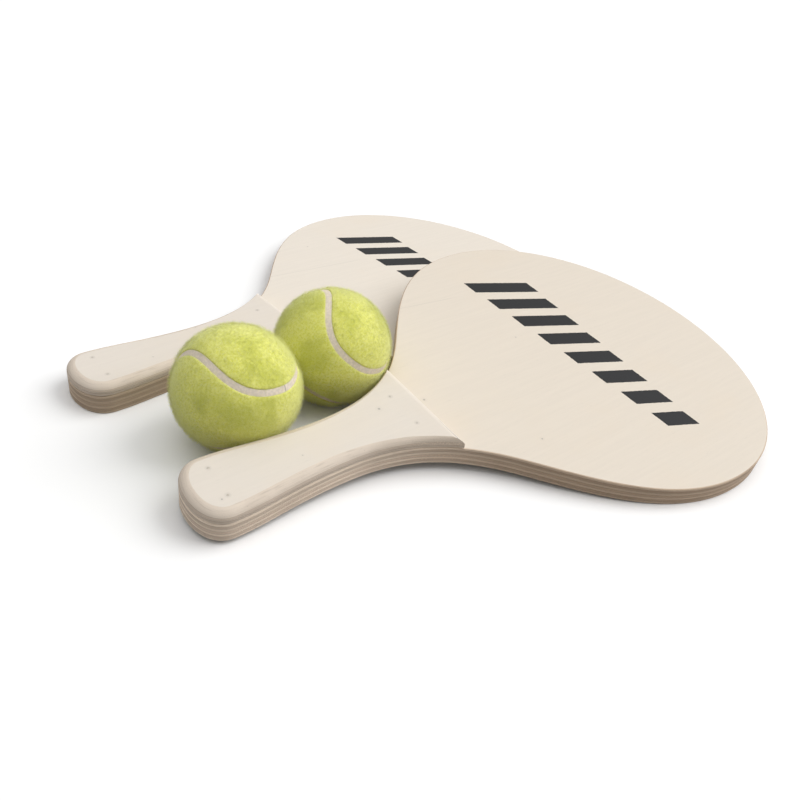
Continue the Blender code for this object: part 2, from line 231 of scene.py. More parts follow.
def half_outline_knots():
    """Knots of the outline's left half, from butt end to tip, each as handle in, point and handle out."""
    flare = Vector((cos(NECK_FLARE), sin(NECK_FLARE), 0.0)) * NECK_PULL
    widest = PADDLE_LENGTH - WIDEST_TO_TIP
    butt_end = Vector((0.0, 0.0, 0.0))
    butt = Vector((BUTT_STATION, BUTT_WIDTH / 2, 0.0))
    waist = Vector((WAIST_STATION, WAIST_WIDTH / 2, 0.0))
    neck = Vector((NECK_STATION, NECK_WIDTH / 2, 0.0))
    shoulder = Vector((widest, BLADE_WIDTH / 2, 0.0))
    tip = Vector((PADDLE_LENGTH, 0.0, 0.0))
    along = Vector((1.0, 0.0, 0.0))
    across = Vector((0.0, 1.0, 0.0))
    tip_pull = across * QUARTER_ROUND * BLADE_WIDTH / 2
    return [
        (butt_end - across * BUTT_CORNER_ACROSS, butt_end, butt_end + across * BUTT_CORNER_ACROSS),
        (butt - along * BUTT_CORNER_ALONG, butt, butt + along * BUTT_PULL),
        (waist - along * WAIST_PULL, waist, waist + along * WAIST_PULL),
        (neck - flare, neck, neck + flare),
        (shoulder - along * SHOULDER_PULL, shoulder, shoulder + along * QUARTER_ROUND * WIDEST_TO_TIP),
        (tip + tip_pull, tip, tip - tip_pull),
    ]


def half_outline_points():
    knots = half_outline_knots()
    points = [knots[0][1]]
    for start, end in zip(knots, knots[1:]):
        points += interpolate_bezier(start[1], start[2], end[0], end[1], OUTLINE_STEPS + 1)[1:]
    return points


def mirrored(point):
    return Vector((point.x, -point.y, point.z))


def evenly_spaced(line, count):
    """A line of points resampled to a count of even steps, with both ends kept."""
    reach = [0.0]
    for start, end in zip(line, line[1:]):
        reach.append(reach[-1] + (end - start).length)
    points = [line[0]]
    i = 1
    for step in range(1, count):
        wanted = reach[-1] * step / count
        while reach[i] < wanted:
            i += 1
        share = (wanted - reach[i - 1]) / (reach[i] - reach[i - 1])
        points.append(line[i - 1].lerp(line[i], share))
    return points + [line[-1]]


def inward_sides(outline):
    """The direction into the paddle at each point of a closed outline."""
    sides = []
    for i, point in enumerate(outline):
        tangent = (outline[(i + 1) % len(outline)] - outline[i - 1]).normalized()
        sides.append(Vector((tangent.y, -tangent.x, 0.0)))
    return sides


# Where the pieces stand


def middle(node):
    low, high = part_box(node)
    return (Vector(low) + Vector(high)) / 2


def paddle_frame(paddle):
    """The paddle's own frame, found from the pins that hold its grip."""
    left_butt, right_butt, left_neck, right_neck = [
        middle("%s_pin_%d" % (paddle, number)) for number in range(1, 5)
    ]
    butt = (left_butt + right_butt) / 2
    neck = (left_neck + right_neck) / 2
    along = (neck - butt).normalized()
    across = left_butt - right_butt
    across = (across - along * across.dot(along)).normalized()
    normal = along.cross(across)
    pin_middle = BLADE_THICKNESS + GAP + GRIP_THICKNESS - PIN_LENGTH / 2
    start = butt - along * BUTT_PIN_STATION - normal * pin_middle
    turn = Matrix((along, across, normal)).transposed().to_4x4()
    return Matrix.Translation(start) @ turn


def ball_frame(ball):
    turn = Euler(BALL_TURNS[ball], "XYZ").to_matrix().to_4x4()
    return Matrix.Translation(middle(ball + "_core")) @ turn


# Making objects


def new_piece(name, mesh, materials, *nodes, slot):
    """Put a finished mesh into the scene as the piece that stands for these nodes."""
    piece = bpy.data.objects.new(name, mesh)
    bpy.context.scene.collection.objects.link(piece)
    for material in materials:
        mesh.materials.append(material)
    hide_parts(*nodes)
    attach(piece, "root")
    return piece


def rows_mesh(name, rows, place, face_slot):
    """A closed mesh over rings of points that lie above each other, placed in the row's frame.

    face_slot gives a face's material slot from the numbers of the ring below it and of the point before it.
    Both ends take slot 0.
    """
    bm = bmesh.new()
    rings = [[bm.verts.new(place @ point) for point in row] for row in rows]
    count = len(rings[0])
    for number, (lower, upper) in enumerate(zip(rings, rings[1:])):
        for i in range(count):
            j = (i + 1) % count
            face = bm.faces.new((lower[i], upper[i], upper[j], lower[j]))
            face.material_index = face_slot(number, i)
    bm.faces.new(rings[0])
    bm.faces.new(rings[-1][::-1])
    bmesh.ops.recalc_face_normals(bm, faces=bm.faces)
    mesh = bpy.data.meshes.new(name)
    bm.to_mesh(mesh)
    bm.free()
    mesh.shade_smooth()
    mesh.set_sharp_from_angle(angle=SMOOTH_ANGLE)
    return mesh


# Making materials


def new_material(name, roughness):
    material = bpy.data.materials.new(name)
    material.use_nodes = True
    shader = material.node_tree.nodes["Principled BSDF"]
    shader.inputs["Roughness"].default_value = roughness
    return material, shader


def add_node(tree, kind, inputs=None, **settings):
    """Add one shader node; inputs are sockets to link from or plain values."""
    node = tree.nodes.new(kind)
    for key, value in settings.items():
        setattr(node, key, value)
    for key, value in (inputs or {}).items():
        if isinstance(value, bpy.types.NodeSocket):
            tree.links.new(value, node.inputs[key])
        else:
            node.inputs[key].default_value = value
    return node


def calculate(tree, operation, first, second=0.0, third=0.0):
    return add_node(tree, "ShaderNodeMath", {0: first, 1: second, 2: third}, operation=operation).outputs[0]


def product(tree, first, second):
    return calculate(tree, "MULTIPLY", first, second)


def apart(tree, first, second):
    """How far two values are apart, without a sign."""
    return calculate(tree, "ABSOLUTE", calculate(tree, "SUBTRACT", first, second))


def measured(tree, operation, first, second):
    """A vector sum that gives one number, such as a distance."""
    node = add_node(tree, "ShaderNodeVectorMath", {0: first, 1: second}, operation=operation)
    return node.outputs["Value"]


def between(tree, value, low, high):
    """A smooth rise from 0 at low to 1 at high."""
    node = add_node(
        tree, "ShaderNodeMapRange", {"Value": value, "From Min": low, "From Max": high},
        interpolation_type="SMOOTHSTEP",
    )
    return node.outputs[0]


def blend_colours(tree, share, first, second, blend="MIX"):
    inputs = {0: share, 6: padded(first), 7: padded(second)}
    return add_node(tree, "ShaderNodeMix", inputs, data_type="RGBA", blend_type=blend).outputs[2]


def padded(colour):
    """A colour of three values with its alpha; a socket stays as it is."""
    if isinstance(colour, bpy.types.NodeSocket):
        return colour
    return (colour[0], colour[1], colour[2], 1.0)


def stained(tree, tone, share, strength, colour):
    """A tone with a colour laid over it, at the given strength where the share is 1."""
    return blend_colours(tree, product(tree, share, strength), tone, colour)


def shaded(colour, share):
    return tuple(value * share for value in colour)


def tinted(colour, tint):
    return tuple(value * part for value, part in zip(colour, tint))


def capped(colour, most):
    return tuple(min(value, most) for value in colour)


def object_coordinates(tree):
    return add_node(tree, "ShaderNodeTexCoord").outputs["Object"]


def local_coordinates(tree, place):
    """Object coordinates turned into a paddle's or a ball's own frame."""
    inputs = {
        "Vector": object_coordinates(tree),
        "Location": place.to_translation(),
        "Rotation": place.to_euler(),
    }
    return add_node(tree, "ShaderNodeMapping", inputs, vector_type="TEXTURE").outputs[0]


def parts_of(tree, coordinates):
    return add_node(tree, "ShaderNodeSeparateXYZ", {0: coordinates}).outputs


def stretched(tree, coordinates, x, y, z):
    return add_node(tree, "ShaderNodeMapping", {"Vector": coordinates, "Scale": (x, y, z)}).outputs[0]


def grain(tree, coordinates, scale, detail=2.0, roughness=0.5):
    inputs = {"Vector": coordinates, "Scale": scale, "Detail": detail, "Roughness": roughness}
    return add_node(tree, "ShaderNodeTexNoise", inputs).outputs["Fac"]


def give_bump(tree, shader, height, distance, strength=1.0):
    bump = add_node(tree, "ShaderNodeBump", {"Height": height, "Distance": distance, "Strength": strength})
    tree.links.new(bump.outputs[0], shader.inputs["Normal"])


# Wood


# How much lighter the side of the handle, and that of its grip, is than the sawn side of the blade: sanding
# on the grips and the rear handle, and on the front handle mostly painted light, standing in for the key
# light on that side
HANDLE_SANDING_AND_PAINTED_LIGHT = {"front_paddle": (1.64, 1.82, 2.04), "rear_paddle": (1.1, 1.13, 1.14)}
GRIP_HANDLE_TONE = (1.10, 1.14, 1.20)

# How each blade's veneer differs from the face colour that is set, above: painted light, the rear blade's
# faces lighter for the light that falls on them from behind
VENEER_PAINTED_LIGHT = {"front_paddle": (1.0, 1.0, 1.0), "rear_paddle": (1.04, 1.06, 1.09)}
# and on the lower face: painted shade, darker so that it bounces less light onto the floor under the blade
UNDERSIDE_PAINTED_SHADE = (0.78, 0.75, 0.70)

# Small knots and dents, each as its station, its place across and its radius
FACE_SPECKS = {
    "front_paddle": ((0.1474, 0.0067, 0.0009), (0.1864, -0.0502, 0.0007), (0.2410, 0.0280, 0.0005)),
    "rear_paddle": ((0.1900, 0.0150, 0.0006), (0.2210, 0.0890, 0.0005)),
}
GRIP_SPECKS = {
    "front_paddle": ((0.1144, 0.0065, 0.0010), (0.0130, -0.0107, 0.0006), (0.0600, -0.0040, 0.0004)),
    "rear_paddle": ((0.0816, 0.0121, 0.0009), (0.0450, -0.0060, 0.0004)),
}

# Both ends of the faint joint in each blade's face veneer
VENEER_JOINTS = {
    "front_paddle": ((0.1911, 0.0863), (0.2223, 0.0826)),
    "rear_paddle": ((0.1666, 0.0588), (0.2328, 0.0528)),
}

# A fine crack along the grip's straight end, and how it grows across the grip
CRACK_STATION = GRIP_LENGTH - 0.0028
CRACK_GROWTH = (-0.008, -0.034)


def distance_in_plan(tree, coordinates, x, y):
    """How far a point of the face lies from a place, measured along the face."""
    return measured(tree, "DISTANCE", stretched(tree, coordinates, 1.0, 1.0, 0.0), (x, y, 0.0))


def veneer_grain(tree, coordinates, colour):
    """Sanded veneer: faint lengthwise streaks, short pores and slow changes of tone."""
    streaks = grain(tree, stretched(tree, coordinates, 30.0, 520.0, 30.0), 1.0, 3.0)
    light = between(tree, streaks, 0.30, 0.72)
    tone = blend_colours(tree, light, shaded(colour, 0.986), shaded(colour, 1.01))
    clouds = between(tree, grain(tree, coordinates, 22.0, 3.0), 0.45, 0.75)
    tone = stained(tree, tone, clouds, 0.6, tinted(colour, (1.01, 0.985, 0.95)))
    pores = grain(tree, stretched(tree, coordinates, 210.0, 1900.0, 210.0), 1.0, 1.0)
    tone = stained(tree, tone, between(tree, pores, 0.66, 0.80), 0.10, shaded(colour, 0.55))
    return tone, streaks


def add_specks(tree, coordinates, tone, colour, specks):
    """Small dark knots and dents, each as place and radius, with a fainter ring round it."""
    for x, y, radius in specks:
        reach = distance_in_plan(tree, coordinates, x, y)
        core = between(tree, reach, radius, radius * 0.4)
        tone = stained(tree, tone, core, 0.55, shaded(colour, 0.30))
        halo = between(tree, reach, radius * 3.2, radius * 1.2)
        tone = stained(tree, tone, halo, 0.10, shaded(colour, 0.62))
    return tone


def add_veneer_joint(tree, coordinates, tone, colour, ends):
    """The faint line where two strips of the face veneer meet."""
    (start_x, start_y), (end_x, end_y) = ends
    parts = parts_of(tree, coordinates)
    slope = (end_y - start_y) / (end_x - start_x)
    line = calculate(tree, "MULTIPLY_ADD", parts["X"], slope, start_y - slope * start_x)
    near = between(tree, apart(tree, parts["Y"], line), 0.00055, 0.0001)
    past_start = between(tree, parts["X"], start_x - 0.008, start_x)
    before_end = between(tree, parts["X"], end_x + 0.02, end_x)
    inside = product(tree, past_start, before_end)
    return stained(tree, tone, product(tree, near, inside), 0.28, shaded(colour, 0.72))


# A row of plain bars on each blade's face
INK = (0.006, 0.006, 0.007)
INK_EDGE = 0.0001
INK_WOBBLE = 0.0007
BAR_ROW_STATION = 0.274
BAR_ROW_REACH = 0.088
BAR_PITCH = 0.0220
BAR_SHARE = 0.58
BAR_SLANT = 0.42
LONGEST_BAR = 0.044
SHORTEST_BAR = 0.020


def add_bars(tree, coordinates, tone):
    """A row of plain slanted bars across the blade, long on one side and short on the other."""
    parts = parts_of(tree, coordinates)
    along = calculate(tree, "SUBTRACT", parts["X"], BAR_ROW_STATION)
    across = calculate(tree, "ADD", parts["Y"], product(tree, along, BAR_SLANT))
    rough = calculate(tree, "SUBTRACT", grain(tree, coordinates, 900.0, 2.0), 0.5)
    wobble = product(tree, rough, INK_WOBBLE)
    turn = calculate(tree, "DIVIDE", calculate(tree, "ADD", across, BAR_ROW_REACH), BAR_PITCH)
    number = calculate(tree, "FLOOR", turn)
    place = product(tree, calculate(tree, "SUBTRACT", turn, number), BAR_PITCH)
    from_middle = calculate(tree, "ADD", apart(tree, place, BAR_PITCH / 2), wobble)
    half_width = BAR_PITCH * BAR_SHARE / 2
    in_width = between(tree, from_middle, half_width + INK_EDGE, half_width - INK_EDGE)
    bars = round(2 * BAR_ROW_REACH / BAR_PITCH)
    step = (LONGEST_BAR - SHORTEST_BAR) / 2 / (bars - 1)
    half_length = calculate(tree, "MULTIPLY_ADD", number, step, SHORTEST_BAR / 2)
    over = calculate(tree, "SUBTRACT", calculate(tree, "ABSOLUTE", along), half_length)
    in_length = between(tree, calculate(tree, "ADD", over, wobble), INK_EDGE, -INK_EDGE)
    in_row = calculate(tree, "LESS_THAN", apart(tree, number, (bars - 1) / 2), bars / 2)
    inked = product(tree, product(tree, in_width, in_length), in_row)
    worn = grain(tree, stretched(tree, coordinates, 120.0, 900.0, 120.0), 1.0, 3.0)
    inked = product(tree, inked, between(tree, worn, 0.08, 0.20))
    upper = between(tree, parts["Z"], BLADE_THICKNESS * 0.5, BLADE_THICKNESS * 0.6)
    return blend_colours(tree, product(tree, inked, upper), tone, INK)


def blade_veneer(paddle, place, colour):
    """The blade's faces: grain, the joint in the veneer, specks and bars, and a lower face painted darker
    as painted shade.
    """
    # Painted light: the rear blade's faces are lighter, standing in for the light that falls on them from
    # behind
    colour = capped(tinted(colour, VENEER_PAINTED_LIGHT[paddle]), 1.0)
    material, shader = new_material(paddle + "_blade_veneer", 0.62)
    shader.inputs["Specular IOR Level"].default_value = 0.30
    tree = material.node_tree
    coordinates = local_coordinates(tree, place)
    tone, streaks = veneer_grain(tree, coordinates, colour)
    tone = add_veneer_joint(tree, coordinates, tone, colour, VENEER_JOINTS[paddle])
    tone = add_specks(tree, coordinates, tone, colour, FACE_SPECKS[paddle])
    tone = add_bars(tree, coordinates, tone)
    # Painted shade: the lower face is darker, so that it bounces less light onto the floor under the blade
    height = parts_of(tree, coordinates)["Z"]
    below = between(tree, height, BLADE_THICKNESS * 0.4, BLADE_THICKNESS * 0.3)
    tone = blend_colours(tree, below, tone, UNDERSIDE_PAINTED_SHADE, "MULTIPLY")
    tree.links.new(tone, shader.inputs["Base Color"])
    give_bump(tree, shader, streaks, 0.00006, 0.6)
    return material


def grip_veneer(paddle, place, colour):
    """The grip's flat top: grain, specks, a soft ring round each pin and a crack at the straight end."""
    material, shader = new_material(paddle + "_grip_veneer", 0.58)
    tree = material.node_tree
    coordinates = local_coordinates(tree, place)
    tone, streaks = veneer_grain(tree, coordinates, colour)
    for x, y in pin_places():
        ring = between(tree, distance_in_plan(tree, coordinates, x, y), 0.0021, 0.0009)
        tone = stained(tree, tone, ring, 0.20, shaded(colour, 0.50))
    tone = add_specks(tree, coordinates, tone, colour, GRIP_SPECKS[paddle])
    parts = parts_of(tree, coordinates)
    near = between(tree, apart(tree, parts["X"], CRACK_STATION), 0.00045, 0.00010)
    crack = product(tree, near, between(tree, parts["Y"], *CRACK_GROWTH))
    tone = stained(tree, tone, crack, 0.85, shaded(colour, 0.35))
    tree.links.new(tone, shader.inputs["Base Color"])
    give_bump(tree, shader, streaks, 0.00006, 0.6)
    return material


PLY_SHADES = (1.0, 0.97, 1.04, 1.08, 0.96, 0.90, 1.05)
PLY_WAVES = 0.0007
GLUE_LINE_TINT = 0.00011

# Stretches of the side where the saw tore the middle plies, each as its start and its end
SAW_MARKS = ((0.112, 0.150), (0.262, 0.292))
SAW_MARK_FADE = 0.012


def ply_bands(tree, share, light, dark, heights, thickness):
    """Plies of long and end grain in turn up the side of a board, with a fine glue line at each joint."""
    ramp = add_node(tree, "ShaderNodeValToRGB", {0: share})
    stops = ramp.color_ramp.elements
    while len(stops) > 1:
        stops.remove(stops[-1])
    colours = [
        shaded(light if number % 2 == 0 else dark, PLY_SHADES[number % len(PLY_SHADES)])
        for number in range(len(heights) - 1)
    ]
    stops[0].position = 0.0
    stops[0].color = padded(colours[0])
    half_line = GLUE_LINE_TINT / thickness
    for number, joint in enumerate(heights[1:-1], start=1):
        place = (joint - heights[0]) / thickness
        stops.new(place - 2 * half_line).color = padded(colours[number - 1])
        stops.new(place).color = padded(shaded(dark, 0.66))
        stops.new(place + half_line).color = padded(shaded(light, 1.12))
        stops.new(place + 2.5 * half_line).color = padded(colours[number])
    return ramp.outputs[0]


def saw_marks(tree, station, share):
    """Where the saw tore the middle plies, faded at both ends of each stretch."""
    torn = product(tree, between(tree, share, 0.20, 0.30), between(tree, share, 0.66, 0.52))
    marks = 0.0
    for start, end in SAW_MARKS:
        past_start = between(tree, station, start, start + SAW_MARK_FADE)
        before_end = between(tree, station, end, end - SAW_MARK_FADE)
        marks = calculate(tree, "MAXIMUM", marks, product(tree, past_start, before_end))
    return product(tree, torn, marks)


def ply_edge(name, place, light, dark, heights, thickness, handle_tone):
    """The side of plywood: plies of long and end grain in turn, with fine streaks, pores and brown patches.

    handle_tone says how much lighter the side of the handle is than the sawn side of the blade: sanding,
    and on the front paddle painted light as well.
    """
    material, shader = new_material(name, 0.72)
    tree = material.node_tree
    coordinates = local_coordinates(tree, place)
    parts = parts_of(tree, coordinates)
    waves = grain(tree, stretched(tree, coordinates, 26.0, 26.0, 4.0), 1.0, 2.0)
    waves = product(tree, calculate(tree, "SUBTRACT", waves, 0.5), PLY_WAVES)
    height = calculate(tree, "ADD", parts["Z"], waves)
    share = calculate(tree, "DIVIDE", calculate(tree, "SUBTRACT", height, heights[0]), thickness)
    tone = ply_bands(tree, share, light, dark, heights, thickness)
    streaks = grain(tree, stretched(tree, coordinates, 70.0, 70.0, 2600.0), 1.0, 3.0, 0.6)
    tone = stained(tree, tone, between(tree, streaks, 0.50, 0.74), 0.50, shaded(dark, 0.72))
    tone = stained(tree, tone, between(tree, streaks, 0.48, 0.25), 0.30, shaded(light, 1.12))
    pores = grain(tree, stretched(tree, coordinates, 1.0, 1.0, 1.6), 1500.0, 2.0)
    tone = stained(tree, tone, between(tree, pores, 0.62, 0.76), 0.35, shaded(dark, 0.5))
    brown = between(tree, grain(tree, coordinates, 30.0, 2.0), 0.50, 0.72)
    tone = stained(tree, tone, brown, 0.30, shaded(dark, 0.85))
    # Lighter towards the butt: the sanded handle, and on the front paddle painted light as well
    sanded = between(tree, parts["X"], NECK_STATION + 0.015, WAIST_STATION)
    tone = blend_colours(tree, sanded, tone, handle_tone, "MULTIPLY")
    flecks = between(tree, grain(tree, coordinates, 1500.0, 1.0), 0.52, 0.62)
    flecks = product(tree, flecks, saw_marks(tree, parts["X"], share))
    tone = stained(tree, tone, flecks, 0.55, shaded(light, 1.35))
    tree.links.new(tone, shader.inputs["Base Color"])
    patches = between(tree, grain(tree, coordinates, 24.0, 1.0), 0.55, 0.68)
    crumbs = calculate(tree, "MULTIPLY_ADD", patches, 0.8, 0.2)
    crumbs = product(tree, grain(tree, coordinates, 1900.0, 2.0), crumbs)
    relief = calculate(tree, "ADD", product(tree, streaks, 0.5), crumbs)
    give_bump(tree, shader, relief, 0.00018, 0.8)
    return material


def pin_places():
    return [
        (BUTT_PIN_STATION, BUTT_PIN_SPREAD / 2),
        (BUTT_PIN_STATION, -BUTT_PIN_SPREAD / 2),
        (NECK_PIN_STATION, NECK_PIN_SPREAD / 2),
        (NECK_PIN_STATION, -NECK_PIN_SPREAD / 2),
    ]


def pin_steel(colour):
    material, shader = new_material("pin_steel", 0.5)
    tree = material.node_tree
    shader.inputs["Metallic"].default_value = 0.3
    coordinates = object_coordinates(tree)
    scratches = grain(tree, stretched(tree, coordinates, 1200.0, 9000.0, 1200.0), 1.0, 2.0)
    tarnish = between(tree, grain(tree, coordinates, 2200.0, 2.0), 0.45, 0.70)
    tone = blend_colours(tree, tarnish, colour, shaded(colour, 0.55))
    tree.links.new(tone, shader.inputs["Base Color"])
    give_bump(tree, shader, scratches, 0.00002)
    return material


# Blades


RIM_WIDTH = 0.0016
GLUE_LINE_HALF_WIDTH = 0.00022
GLUE_LINE_SHAPE = ((-1.0, 0.12), (-0.45, 0.6), (0.0, 1.0), (0.45, 0.6), (1.0, 0.12))
EDGE_WEAR = 0.00005
WEAR_SCALE = 420.0
SLOW_WEAR_SCALE = 90.0


def ply_heights(thickness, plies):
    return [thickness * number / plies for number in range(plies + 1)]


def side_profile(thickness, arris, heights, groove):
    """Inset and height of each row round a board, from its lower face to its upper one."""
    rows = [(RIM_WIDTH, 0.0)]
    for step in range(ARRIS_STEPS + 1):
        turn = pi / 2 * step / ARRIS_STEPS
        rows.append((arris * (1.0 - sin(turn)), arris * (1.0 - cos(turn))))
    for lower, joint in zip(heights, heights[1:-1]):
        rows.append((0.0, (lower + joint) / 2 if lower > 0.0 else (arris + joint) / 2))
        for shift, depth in GLUE_LINE_SHAPE:
            rows.append((groove * depth, joint + shift * GLUE_LINE_HALF_WIDTH))
    rows.append((0.0, (heights[-2] + thickness - arris) / 2))
    for step in range(ARRIS_STEPS + 1):
        turn = pi / 2 * step / ARRIS_STEPS
        rows.append((arris * (1.0 - cos(turn)), thickness - arris * (1.0 - sin(turn))))
    rows.append((RIM_WIDTH, thickness))
    return rows


def wear(point, height):
    """Small unevenness left by sawing and sanding, always into the wood."""
    rough = noise.noise(Vector((point.x, point.y, height * 3.0)) * WEAR_SCALE)
    slow = noise.noise(point * SLOW_WEAR_SCALE)
    return EDGE_WEAR * (1.0 + rough) * (0.6 + 0.8 * abs(slow))


def blade_piece(paddle, settings):
    place = paddle_frame(paddle)
    left = evenly_spaced(half_outline_points(), BLADE_SIDE_STEPS)
    outline = left + [mirrored(point) for point in left[-2:0:-1]]
    sides = inward_sides(outline)
    heights = ply_heights(BLADE_THICKNESS, settings.plies)
    rows = []
    for inset, height in side_profile(BLADE_THICKNESS, settings.arris, heights, settings.glue_line):
        flat_face = height in (0.0, BLADE_THICKNESS)
        row = []
        for point, side in zip(outline, sides):
            depth = inset if flat_face else inset + wear(point, height)
            row.append(Vector((point.x, point.y, height)) + side * depth)
        rows.append(row)
    last_band = len(rows) - 2
    mesh = rows_mesh(
        paddle + "_blade_board", rows, place, lambda band, side: 0 if band in (0, last_band) else 1
    )
    materials = [
        blade_veneer(paddle, place, settings.veneer),
        ply_edge(
            paddle + "_blade_plies", place, settings.light_ply, settings.dark_ply, heights,
            BLADE_THICKNESS, HANDLE_SANDING_AND_PAINTED_LIGHT[paddle],
        ),
    ]
    return new_piece(paddle + "_blade_board", mesh, materials, paddle + "_blade", slot="blade_plywood")


# Grips


GRIP_FOOT = 0.0003
GRIP_GROOVE = 0.00022
CREASE_SHARES = (1.05, 1.16)
GRIP_PLY_SHARES = (0.0, 0.15, 0.28, 0.40, 0.56, 1.0)


def grip_inset(station):
    """How far the grip's rounded edge reaches in from the handle's side."""
    share = (station - GRIP_TAPER_START) / (GRIP_LENGTH - GRIP_TAPER_START)
    share = min(max(share, 0.0), 1.0)
    return GRIP_ROUNDING + (GRIP_NECK_ROUNDING - GRIP_ROUNDING) * share


def grip_ring(inset_share, cut_in, height):
    """The grip's outline at one height: the handle's outline, set in at its sides and straight end."""
    outline = half_outline_points()
    end_station = GRIP_LENGTH - GRIP_END_BEVEL * inset_share - cut_in
    side = []
    for before, point, after in zip(outline, outline[1:], outline[2:]):
        tangent = (after - before).normalized()
        inward = Vector((tangent.y, -tangent.x, 0.0))
        side.append(point + inward * (grip_inset(point.x) * inset_share + cut_in))
    start = Vector((grip_inset(0.0) * inset_share + cut_in, 0.0, 0.0))
    side = [start] + [point for point in side if point.y > 0.0]
    while side[-2].x >= end_station:
        side.pop()
    share = (end_station - side[-2].x) / (side[-1].x - side[-2].x)
    side[-1] = side[-2].lerp(side[-1], share)
    left = evenly_spaced(side, GRIP_SIDE_STEPS)
    corner = left[-1]
    end = [corner.lerp(mirrored(corner), step / GRIP_END_STEPS) for step in range(1, GRIP_END_STEPS)]
    ring = left + end + [mirrored(point) for point in left[:0:-1]]
    return [Vector((point.x, point.y, height)) for point in ring]


def grip_rows():
    """Rings of the grip from its foot, over a fine groove and the rounding, to the flat top."""
    base = BLADE_THICKNESS + GAP
    lip = base + GRIP_LIP
    rise = GRIP_THICKNESS - GRIP_LIP
    rows = [grip_ring(0.0, GRIP_FOOT, base), grip_ring(0.0, GRIP_FOOT * 0.3, base + GRIP_FOOT * 0.3)]
    rows.append(grip_ring(0.0, 0.0, base + GRIP_FOOT))
    rows.append(grip_ring(0.0, 0.0, (base + lip) / 2))
    for shift, depth in GLUE_LINE_SHAPE:
        rows.append(grip_ring(0.0, GRIP_GROOVE * depth, lip + (shift - 1.0) * GLUE_LINE_HALF_WIDTH))
    for step in range(1, CROWN_STEPS + 1):
        turn = GRIP_CROWN * step / CROWN_STEPS
        inset_share = (1.0 - cos(turn)) / (1.0 - cos(GRIP_CROWN))
        rows.append(grip_ring(inset_share, 0.0, lip + rise * sin(turn) / sin(GRIP_CROWN)))
    for share in CREASE_SHARES:
        rows.append(grip_ring(share, 0.0, base + GRIP_THICKNESS))
    return rows


def grip_piece(paddle, settings, blade_settings):
    place = paddle_frame(paddle)
    rows = grip_rows()
    top_bands = len(CREASE_SHARES)
    first_top = len(rows) - 1 - top_bands
    first_crown = first_top - CROWN_STEPS

    def face_slot(band, side):
        straight_end = GRIP_SIDE_STEPS <= side < GRIP_SIDE_STEPS + GRIP_END_STEPS
        return 0 if band >= (first_crown if straight_end else first_top) else 1

    mesh = rows_mesh(paddle + "_grip_scale", rows, place, face_slot)
    base = BLADE_THICKNESS + GAP
    heights = [base + GRIP_THICKNESS * share for share in GRIP_PLY_SHARES]
    dark = [(first + second) / 2 for first, second in zip(settings.rounding, blade_settings.dark_ply)]
    materials = [
        grip_veneer(paddle, place, settings.veneer),
        ply_edge(
            paddle + "_grip_plies", place, settings.rounding, dark, heights, GRIP_THICKNESS,
            GRIP_HANDLE_TONE,
        ),
    ]
    return new_piece(paddle + "_grip_scale", mesh, materials, paddle + "_grip", slot="grip_plywood")


# Pins


def pin_piece(paddle, number, spot, dome, material):
    """A pin that ends flush with the grip in a softly domed head."""
    top = BLADE_THICKNESS + GAP + GRIP_THICKNESS
    radius = PIN_DIAMETER / 2
    profile = [(0.8, -PIN_LENGTH), (1.0, -PIN_LENGTH + 0.0002), (1.0, -0.0001), (0.93, -0.00003)]
    profile += [(share, dome * (1.0 - share * share)) for share in (0.8, 0.55, 0.3)]
    rows = []
    for share, height in profile:
        row = []
        for side in range(PIN_SIDES):
            turn = -2 * pi * side / PIN_SIDES
            row.append(Vector((
                spot[0] + radius * share * cos(turn), spot[1] + radius * share * sin(turn), top + height,
            )))
        rows.append(row)
    name = "%s_pin_head_%d" % (paddle, number)
    mesh = rows_mesh(name, rows, paddle_frame(paddle), lambda band, side: 0)
    return new_piece(name, mesh, [material], "%s_pin_%d" % (paddle, number), slot="pin_steel")


# Balls


def seam_direction(turn):
    """The direction from the ball's centre to a point of the seam, which swings to and fro round it."""
    polar = pi / 2 - (pi / 2 - SEAM_SWING) * cos(turn)
    around = turn / 2 + SEAM_SWING * sin(2 * turn)
    return Vector((sin(polar) * cos(around), sin(polar) * sin(around), cos(polar)))


def seam_sides(count):
    """Points of the seam, each with the direction across it."""
    points = []
    half_step = 2 * pi / count
    for step in range(count):
        turn = 4 * pi * step / count
        outward = seam_direction(turn)
        tangent = seam_direction(turn + half_step) - seam_direction(turn - half_step)
        points.append((outward, outward.cross(tangent).normalized()))
    return points


class SeamRuler:
    """Measures how far a direction lies from the seam, in metres on the ball, with a sign for the side."""

    def __init__(self):
        self.points = seam_sides(SEAM_SAMPLES)
        self.tree = KDTree(SEAM_SAMPLES)
        for number, (outward, across) in enumerate(self.points):
            self.tree.insert(outward, number)
        self.tree.balance()

    def reach(self, direction):
        outward, number, gap = self.tree.find(direction)
        across = self.points[number][1]
        off = direction.dot(across)
        if gap > 0.1:
            off = copysign(2 * asin(min(gap / 2, 1.0)), off)
        return off * BALL_RADIUS, across


# The felt stops short of the seam, curls down there over the roll, and stands above the ball's true radius
FELT_EDGE = SEAM_WIDTH / 2 + 0.00045
PILE = 0.0004
ROLL_WIDTH = 0.0010
ROLL_DEPTH = 0.0003
CLUMP = 0.00013
CLUMP_SCALE = 14.0
FINE_CLUMP = 0.00009
FINE_CLUMP_SCALE = 44.0

# A corner of the mesh that lies this near to the cut is moved onto it
SNAP = 0.00022

# The least height of a felt or seam point above the floor
FLOOR_CLEARANCE = 0.00003


def felt_height(direction, reach):
    """Radius of the felt's surface: rounded down towards the seam, and clumpy."""
    roll = 0.0
    if reach < ROLL_WIDTH:
        share = 1.0 - max(reach, 0.0) / ROLL_WIDTH
        roll = ROLL_DEPTH * (1.0 - sqrt(1.0 - share * share))
    clumps = CLUMP * noise.noise(direction * CLUMP_SCALE)
    clumps += FINE_CLUMP * noise.noise(direction * FINE_CLUMP_SCALE)
    return BALL_RADIUS + PILE - roll + clumps


